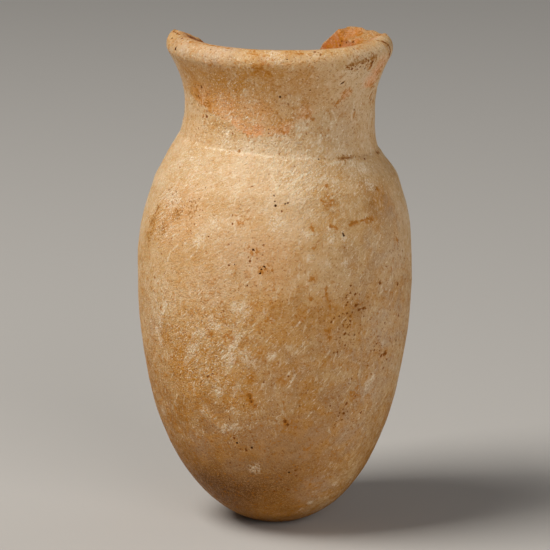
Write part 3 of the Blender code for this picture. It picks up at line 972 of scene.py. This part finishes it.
def clouds_group():
    """Soft clouds: sharper with a smaller blur, thicker with a lower level."""
    group, given, result = new_group("clouds", Size=0.01, Level=0.5, Blur=0.15)
    noise_value = mottle(group, given["Place"], reckon(group, "DIVIDE", 1.0, given["Size"]), 3.0, 0.4)
    low = reckon(group, "SUBTRACT", given["Level"], given["Blur"])
    high = reckon(group, "ADD", given["Level"], given["Blur"])
    join(group, between(group, noise_value, low, high), result["Amount"])
    return group


def flecks_and_glints_group():
    """Short curved crystal flecks, also used for painted glints: pieces of the level lines of a noise."""
    group, given, result = new_group("flecks", Size=0.0015, Width=0.05, Share=0.5)
    scale = reckon(group, "DIVIDE", 1.0, given["Size"])
    above = reckon(group, "SUBTRACT", mottle(group, given["Place"], scale, 1.0), 0.5)
    line = between(group, reckon(group, "ABSOLUTE", above), 0.0, given["Width"], 1.0, 0.0)
    shifted = vector_sum(group, "ADD", {0: given["Place"], 1: (31 * MM, 17 * MM, 23 * MM)})
    pieces = mottle(group, shifted, reckon(group, "MULTIPLY", scale, 2.6), 0.0)
    level = between(group, given["Share"], 0.0, 1.0, 0.85, 0.47)
    kept = between(group, pieces, level, reckon(group, "ADD", level, 0.08))
    join(group, reckon(group, "MULTIPLY", line, kept), result["Amount"])
    return group


def pores_group():
    """Small round pores, one to a cell, in a share of the cells."""
    group, given, result = new_group("pores", Spacing=0.001, Radius=0.15, Share=0.2)
    bend = add(group, "ShaderNodeTexNoise", {"Vector": given["Place"], "Scale": 3500.0, "Detail": 1.0})
    shift = vector_sum(group, "SCALE", {0: bend.outputs["Color"], "Scale": 0.22 * MM})
    moved = vector_sum(group, "ADD", {0: given["Place"], 1: shift})
    scale = reckon(group, "DIVIDE", 1.0, given["Spacing"])
    cells = add(group, "ShaderNodeTexVoronoi", {"Vector": moved, "Scale": scale}).outputs
    parts = add(group, "ShaderNodeSeparateColor", {"Color": cells["Color"]}).outputs
    radius = reckon(group, "MULTIPLY", given["Radius"], between(group, parts[1], 0.0, 1.0, 0.6, 1.3))
    core = reckon(group, "MULTIPLY", radius, 0.5)
    round_pore = between(group, cells["Distance"], core, radius, 1.0, 0.0)
    kept = reckon(group, "LESS_THAN", parts[0], given["Share"])
    join(group, reckon(group, "MULTIPLY", round_pore, kept), result["Amount"])
    return group


def streaks_group():
    """Fine streaks that lean to the left as they rise, or to the right with a negative lean."""
    group, given, result = new_group("streaks", Lean=-40.0, Width=0.0004, Flatness=0.25, Level=0.58)
    parts = add(group, "ShaderNodeSeparateXYZ", {0: given["Place"]}).outputs
    turn = reckon(group, "MULTIPLY", parts["Z"], given["Lean"])
    turning = {"Vector": given["Place"], "Angle": turn}
    turned = add(group, "ShaderNodeVectorRotate", turning, rotation_type="Z_AXIS").outputs[0]
    sizes = add(group, "ShaderNodeCombineXYZ", {0: 1.0, 1: 1.0, 2: given["Flatness"]}).outputs[0]
    drawn = vector_sum(group, "MULTIPLY", {0: turned, 1: sizes})
    noise_value = mottle(group, drawn, reckon(group, "DIVIDE", 1.0, given["Width"]), 2.0)
    high = reckon(group, "ADD", given["Level"], 0.10)
    join(group, between(group, noise_value, given["Level"], high), result["Amount"])
    return group


def stone(colours):
    """The worn, stained stone with its old break, and painted glints, sheen and shade in its colour."""
    material = bpy.data.materials.new("alabaster")
    material.use_nodes = True
    tree = material.node_tree
    shader = tree.nodes["Principled BSDF"]
    place = add(tree, "ShaderNodeTexCoord", {}).outputs["Object"]
    rise = add(tree, "ShaderNodeSeparateXYZ", {0: place}).outputs["Z"]
    clouds, flecks, pores, streaks = clouds_group(), flecks_and_glints_group(), pores_group(), streaks_group()
    smooth = partial(between, tree)

    def measure(name):
        """One of the measures that the mesh carries."""
        return add(tree, "ShaderNodeAttribute", {}, attribute_name=name).outputs["Fac"]

    def use(group, **feeds):
        """The amount that a group makes out of the place and what it is fed."""
        node = add(tree, "ShaderNodeGroup", {}, node_tree=group)
        join(tree, place, node.inputs["Place"])
        for name, value in feeds.items():
            join(tree, value, node.inputs[name])
        return node.outputs["Amount"]

    def eased(value, start, end):
        """From start where the value is 0 to end where it is 1."""
        return smooth(value, 0.0, 1.0, start, end)

    def cloudy(size, blur, level=0.5):
        return use(clouds, Size=size, Level=level, Blur=blur)

    def streaky(lean, width, flatness, level):
        return use(streaks, Lean=lean, Width=width, Flatness=flatness, Level=level)

    def times(*values):
        return reduce(partial(reckon, tree, "MULTIPLY"), values)

    def total(*values):
        return reduce(partial(reckon, tree, "ADD"), values)

    def larger(*values):
        return reduce(partial(reckon, tree, "MAXIMUM"), values)

    def rest(value):
        """What a value leaves of 1."""
        return reckon(tree, "SUBTRACT", 1.0, value)

    def centred(value, share):
        """A share of a value between 0 and 1, moved to lie around 0."""
        return times(reckon(tree, "SUBTRACT", value, 0.5), share)

    def paint(name):
        return (*getattr(colours, name), 1)

    def cover(under, *layers):
        """Lays colours over one another, each with its share and its name."""
        for share, name in layers:
            under = blend(tree, share, under, paint(name))
        return under

    wide = cloudy(9 * MM, 0.16)
    middling = cloudy(2.8 * MM, 0.15)
    fine = cloudy(1.1 * MM, 0.15)
    speckle = cloudy(0.5 * MM, 0.16)
    grain = mottle(tree, place, GRAIN_SCALE, 1.0)
    gap = mottle(tree, place, GAP_SCALE, 1.0)
    crystals = streaky(-30.0, 0.30 * MM, 0.6, 0.54)
    rough_edge = total(centred(speckle, 0.22), centred(grain, 0.5))
    crumbly = total(centred(fine, 0.35), centred(speckle, 0.65), centred(grain, 1.1))
    shoulder = times(smooth(rise, *SHOULDER_STARTS), smooth(rise, *SHOULDER_ENDS, 1.0, 0.15))

    # body of the stone: its tone, with painted shade under the base and at the right edge, painted light
    # low on the right
    calm = smooth(measure("tone"), 0.8, 1.2, 1.0, 0.2)
    clouding = times(calm, total(centred(wide, 0.14), centred(middling, 0.24)))
    tone = total(measure("tone"), clouding, centred(fine, 0.10), centred(speckle, 0.06))
    depth = times(tone, 1 / DEEPEST_TONE)
    body = ramp(tree, depth, [paint(name) for name in ("cream", "honey", "toffee", "umber_and_shade")])
    # greyer clouds, with a painted sheen along the lip
    body = cover(body, (times(measure("ash"), eased(middling, 0.5, 1.0)), "ash"))

    # brown stain of the neck with its peach edge, and other warm clouds
    tide = total(measure("tide"), centred(fine, 0.5), centred(speckle, 0.3))
    under_lip = smooth(total(rise, centred(middling, 1.2 * MM)), *STAIN_ENDS, 1.0, 0.0)
    above = times(smooth(tide, -0.3, 0.3), under_lip)
    below = smooth(measure("tide"), -5.0, -2.0, 1.0, 0.0)
    browned = times(larger(above, below), rest(measure("inside")), measure("amber"))
    peachy = times(measure("peach"), smooth(total(fine, speckle), 0.0, 2.0, 0.6, 1.0))
    warm = times(smooth(tone, 0.2, 0.9, 0.08, 0.45), smooth(tone, 0.9, 1.4, 1.0, 0.0))
    body = cover(
        body,
        (times(browned, eased(middling, 0.65, 1.0)), "amber"),
        (times(peachy, larger(smooth(tide, -0.4, 0.2), below)), "peach"),
        (times(cloudy(2.6 * MM, 0.09, 0.56), warm), "amber"),
    )

    # darker gaps between grains: darker grain and painted shade of the fine relief
    gap_shade_share = eased(shoulder, 0.8, 0.5)
    body = blend(tree, smooth(gap, 0.28, 0.42, gap_shade_share, 0.0), body, GAP_SHADE_TINT, "MULTIPLY")

    # pale crystals in clumps, strewn thinly and in streaks; their chalk, the bright grains and the curved
    # flecks also paint glints
    fleck_and_glint_share = measure("flecks")
    clean = smooth(tone, 0.75, 1.25, 1.0, 0.03)
    clumps = streaky(-35.0, 2.6 * MM, 0.6, eased(fleck_and_glint_share, 0.74, 0.53))
    pale = measure("pale")
    patch = times(smooth(total(pale, crumbly), 0.1, 0.6), smooth(pale, 0.0, 0.3))
    glint_grains = smooth(grain, 0.58, 0.70)
    stained_grains = smooth(grain, 0.48, 0.66)
    curved = use(flecks, Size=0.8 * MM, Width=0.12, Share=total(times(fleck_and_glint_share, 0.6), 0.05))
    leaning = streaky(-45.0, 0.30 * MM, 0.45, eased(fleck_and_glint_share, 0.70, 0.60))
    upright = streaky(-8.0, 0.5 * MM, 0.35, 0.60)
    long = streaky(-45.0, 0.5 * MM, 0.25, 0.60)
    slanting = streaky(-90.0, 0.5 * MM, 0.6, 0.56)
    body = cover(
        body,
        (times(clumps, clean, total(times(crystals, 0.5), 0.24)), "chalk_and_glints"),
        (times(patch, total(times(crystals, 0.35), 0.45)), "chalk_and_glints"),
        (times(crystals, clean, total(times(fleck_and_glint_share, 0.15), 0.06)), "chalk_and_glints"),
        (times(glint_grains, clean, total(times(fleck_and_glint_share, 0.25), 0.3)), "chalk_and_glints"),
        (times(stained_grains, rest(clean), 0.4), "honey"),
        (times(curved, clean, 0.65), "chalk_and_glints"),
        (times(leaning, clean, 0.9), "chalk_and_glints"),
        (times(upright, clean, 0.30), "chalk_and_glints"),
        (times(long, clean, total(times(crystals, 0.6), 0.10)), "chalk_and_glints"),
        (times(slanting, shoulder, total(times(fleck_and_glint_share, 0.5), 0.08)), "chalk_and_glints"),
    )

    # the old break and the drilled inside
    orange = measure("orange")
    torn = cover(
        paint("buff"),
        (times(middling, 0.4), "honey"),
        (times(fine, 0.5), "toffee"),
        (times(crystals, 0.2), "chalk_and_glints"),
        (smooth(gap, 0.32, 0.45, 0.6, 0.0), "earth"),
        (times(orange, eased(fine, 0.6, 0.95)), "lining"),
        (times(orange, eased(speckle, 0.35, 0.7)), "peach"),
    )
    broken = measure("broken")
    within = times(measure("inside"), rest(broken))
    body = cover(body, (times(within, smooth(total(speckle, fine), 0.0, 2.0, 0.65, 1.0)), "lining"))
    body = blend(tree, times(broken, 0.9), body, torn)

    # iron stains, dirt and painted shade in grooves, which hardly stray over the shoulder beyond their
    # marks
    loose = eased(shoulder, 1.0, 0.25)
    rust, dirt = measure("rust"), measure("dirt")
    near_rust = larger(smooth(rust, 0.0, 0.15), loose)
    near_dirt_and_shade = larger(smooth(dirt, 0.0, 0.15), loose)
    rusty = times(smooth(total(rust, times(crumbly, 0.9)), 0.1, 0.65), near_rust)
    grime_and_shade = total(dirt, centred(gap, -1.4), centred(speckle, 0.2), centred(fine, 0.2))
    body = cover(
        body,
        (times(rusty, 0.85), "rust"),
        (times(smooth(total(rust, crumbly), 0.7, 1.15), 0.5), "umber_and_shade"),
        (times(smooth(grime_and_shade, 0.25, 0.85), near_dirt_and_shade, 0.85), "toffee"),
        (smooth(grime_and_shade, 0.70, 1.20, 0.0, 0.7), "earth"),
    )

    # pores and pits
    speck_share = measure("specks")
    dots = use(pores, Spacing=0.6 * MM, Radius=0.24, Share=total(times(speck_share, 0.75), 0.03))
    small_pores = use(pores, Spacing=1.0 * MM, Radius=0.19, Share=total(times(speck_share, 0.8), 0.01))
    large_pores = use(pores, Spacing=2.4 * MM, Radius=0.10, Share=times(speck_share, 0.5))
    drawn = total(measure("pores"), rough_edge)
    drawn_pores = smooth(drawn, 0.26, 0.48)
    pit = smooth(total(measure("pits"), rough_edge), 0.34, 0.5)
    body = cover(
        body,
        (times(dots, 0.85), "brown"),
        (times(small_pores, 0.8), "brown"),
        (times(large_pores, 0.9), "earth"),
        (times(drawn_pores, 0.9), "brown"),
        (times(smooth(drawn, 0.42, 0.62), 0.85), "earth"),
        (pit, "soot"),
    )
    join(tree, body, shader.inputs["Base Color"])

    # gloss and fine relief
    hollows = total(small_pores, large_pores, drawn_pores, pit)
    matt = larger(broken, rusty, hollows)
    roughness = total(centred(fine, 0.16), 0.46, times(matt, 0.4))
    join(tree, add(tree, "ShaderNodeClamp", {0: roughness}).outputs[0], shader.inputs["Roughness"])
    reliefs = ((gap, 1.1), (speckle, 0.2), (fine, 0.3), (crystals, 0.2), (curved, 0.4))
    skin = total(*(times(value, share) for value, share in reliefs))
    skin = times(skin, total(times(fleck_and_glint_share, 0.7), 0.75))
    height = total(times(grain, total(times(broken, 1.6), 0.5)), skin, times(hollows, -0.35))
    bump = add(tree, "ShaderNodeBump", {"Height": height, "Strength": 0.9, "Distance": 0.12 * MM})
    join(tree, bump.outputs["Normal"], shader.inputs["Normal"])
    finish = {
        "Specular IOR Level": 0.08,
        "Subsurface Weight": 0.12,
        "Subsurface Scale": 0.6 * MM,
        "Subsurface Radius": (1.0, 0.5, 0.25),
        "IOR": 1.52,
    }
    for name, value in finish.items():
        shader.inputs[name].default_value = value
    return material


def out_of_view(points, normals, view):
    """Which points lie on the jar's outside, above its foot, and are turned away from the photograph."""
    radii = np.linalg.norm(points[:, :2], axis=1)
    outward = np.einsum("ij,ij->i", normals[:, :2], points[:, :2]) > 0.2 * radii
    return outward & (normals @ np.array(view.ahead) > 0.1) & (points[:, 2] > HIDDEN_FROM)


class JAR_OT_carve(bpy.types.Operator):
    """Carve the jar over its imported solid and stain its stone"""

    bl_idname = "jar.carve"
    bl_label = "Carve the jar"
    bl_options = {"REGISTER", "UNDO"}

    def execute(self, context):
        scene = context.scene
        surface = scene.jar_surface
        view = View(scene.jar_stage)
        shape = shaped(scene.jar_form, surface)
        tree = BVHTree.FromBMesh(shape)
        points = coordinates(shape)
        hidden = out_of_view(points, normals_of(shape), view)
        chance = random.Random(HIDDEN_SEED)
        far_pits = strewn(points, hidden, chance, surface.hidden_pits, HIDDEN_PIT_RADII)
        far_rust = strewn(points, hidden, chance, surface.hidden_stains, HIDDEN_STAIN_RADII)
        far_pale = strewn(points, hidden, chance, surface.hidden_patches, HIDDEN_PATCH_RADII)
        dark = marks_at(tree, view, [(*pit, 1.0) for pit in DARK_PITS])
        brown = marks_at(tree, view, [(*pit, 0.9) for pit in BROWN_PITS])
        clefts = marks_at(tree, view, (), [(*cleft, 0.7) for cleft in CLEFTS])
        rust = marks_at(tree, view, RUST_SPOTS, RUST_STREAKS)
        pale = marks_at(tree, view, PALE_SPOTS, PALE_STREAKS)
        marks = {name: marks_at(tree, view, areas) for name, areas in AREAS.items()}
        marks["pits"] = dark + far_pits[::2]
        # The clefts take the pores' brown, which in the right one is partly painted shade in its groove.
        marks["pores"] = brown + clefts + far_pits[1::2]
        marks["dirt"] = marks_at(tree, view, DIRT_PATCHES, DIRT_AND_SHADE_STREAKS)
        marks["rust"] = rust + far_rust
        marks["pale"] = pale + far_pale
        marks["tide"] = landed(tree, view, TIDE_LINE)
        small = [mark for mark in rust + pale if mark[1] < SMALL_MARK]
        refined(shape, dark + brown + clefts + far_pits + small)
        pitted(shape, dark + far_pits, surface.pit_depth)
        pitted(shape, brown, surface.pit_depth / 4)
        pitted(shape, clefts, surface.cleft_depth / clefts[0][1])
        bmesh.ops.recalc_face_normals(shape, faces=shape.faces)
        mesh = bpy.data.meshes.new(PIECE)
        shape.to_mesh(mesh)
        stained(mesh, shape, view, marks)
        shape.free()
        mesh.shade_smooth()
        mesh.materials.append(stone(scene.jar_colours))
        piece = bpy.data.objects.new(PIECE, mesh)
        scene.collection.objects.link(piece)
        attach(piece, BODY)
        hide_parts(NODE)
        return {"FINISHED"}


def soft_light(scene, name, power, size, aim, direction, colour):
    """A large square light one metre from aim, in a direction given as degrees to the right and up."""
    aside, rise = (math.radians(degrees) for degrees in direction)
    away = Vector((math.sin(aside) * math.cos(rise), -math.cos(aside) * math.cos(rise), math.sin(rise)))
    data = bpy.data.lights.new(name, "AREA")
    data.energy = power
    data.size = size
    data.color = colour
    light = bpy.data.objects.new(name, data)
    light.location = aim + away
    light.rotation_euler = away.to_track_quat("Z", "Y").to_euler()
    scene.collection.objects.link(light)


class JAR_OT_stage(bpy.types.Operator):
    """Set the plain floor, the soft light and the camera"""

    bl_idname = "jar.stage"
    bl_label = "Set the stage"
    bl_options = {"REGISTER", "UNDO"}

    def execute(self, context):
        scene = context.scene
        stage = scene.jar_stage
        view = View(stage)
        shape = bmesh.new()
        bmesh.ops.create_circle(shape, cap_ends=True, segments=64, radius=FLOOR_RADIUS)
        mesh = bpy.data.meshes.new("floor")
        shape.to_mesh(mesh)
        shape.free()
        material = bpy.data.materials.new("floor")
        material.use_nodes = True
        shader = material.node_tree.nodes["Principled BSDF"]
        shader.inputs["Base Color"].default_value = (*stage.floor_colour, 1)
        shader.inputs["Roughness"].default_value = 0.8
        mesh.materials.append(material)
        floor = bpy.data.objects.new("floor", mesh)
        scene.collection.objects.link(floor)

        camera_data = bpy.data.cameras.new("camera")
        camera_data.sensor_width = 36
        camera_data.lens = camera_data.sensor_width / 2 / math.tan(stage.field / 2)
        camera_data.clip_start, camera_data.clip_end = CAMERA_REACH
        camera = bpy.data.objects.new("camera", camera_data)
        camera.location = view.eye
        camera.rotation_euler = view.ahead.to_track_quat("-Z", "Y").to_euler()
        scene.collection.objects.link(camera)
        scene.camera = camera

        aim = Vector(stage.aim)
        for name, size, direction, tint in LIGHTS:
            soft_light(scene, name, getattr(stage, name + "_power"), size, aim, direction, tint)
        world = bpy.data.worlds.new("sky")
        world.use_nodes = True
        sky = world.node_tree.nodes["Background"]
        sky.inputs["Color"].default_value = SKY_COLOUR
        sky.inputs["Strength"].default_value = stage.sky_strength
        scene.world = world
        scene.view_settings.view_transform = "Standard"
        return {"FINISHED"}


class JAR_PT_panel(bpy.types.Panel):
    """Lists the steps that build the jar"""

    bl_idname = "JAR_PT_panel"
    bl_label = "Alabaster jar"
    bl_space_type = "VIEW_3D"
    bl_region_type = "UI"
    bl_category = "Jar"

    def draw(self, context):
        self.layout.operator(JAR_OT_carve.bl_idname)
        self.layout.operator(JAR_OT_stage.bl_idname)


GROUPS = {
    "jar_form": JarForm,
    "jar_surface": JarSurface,
    "jar_colours": StoneColours,
    "jar_stage": StageSettings,
}
CLASSES = (*GROUPS.values(), JAR_OT_carve, JAR_OT_stage, JAR_PT_panel)


def register():
    for kind in CLASSES:
        bpy.utils.register_class(kind)
    for name, kind in GROUPS.items():
        setattr(bpy.types.Scene, name, bpy.props.PointerProperty(type=kind))


def unregister():
    for name in GROUPS:
        delattr(bpy.types.Scene, name)
    for kind in reversed(CLASSES):
        bpy.utils.unregister_class(kind)


def main():
    register()
    bpy.ops.jar.carve()
    bpy.ops.jar.stage()


if __name__ == "__main__":
    main()
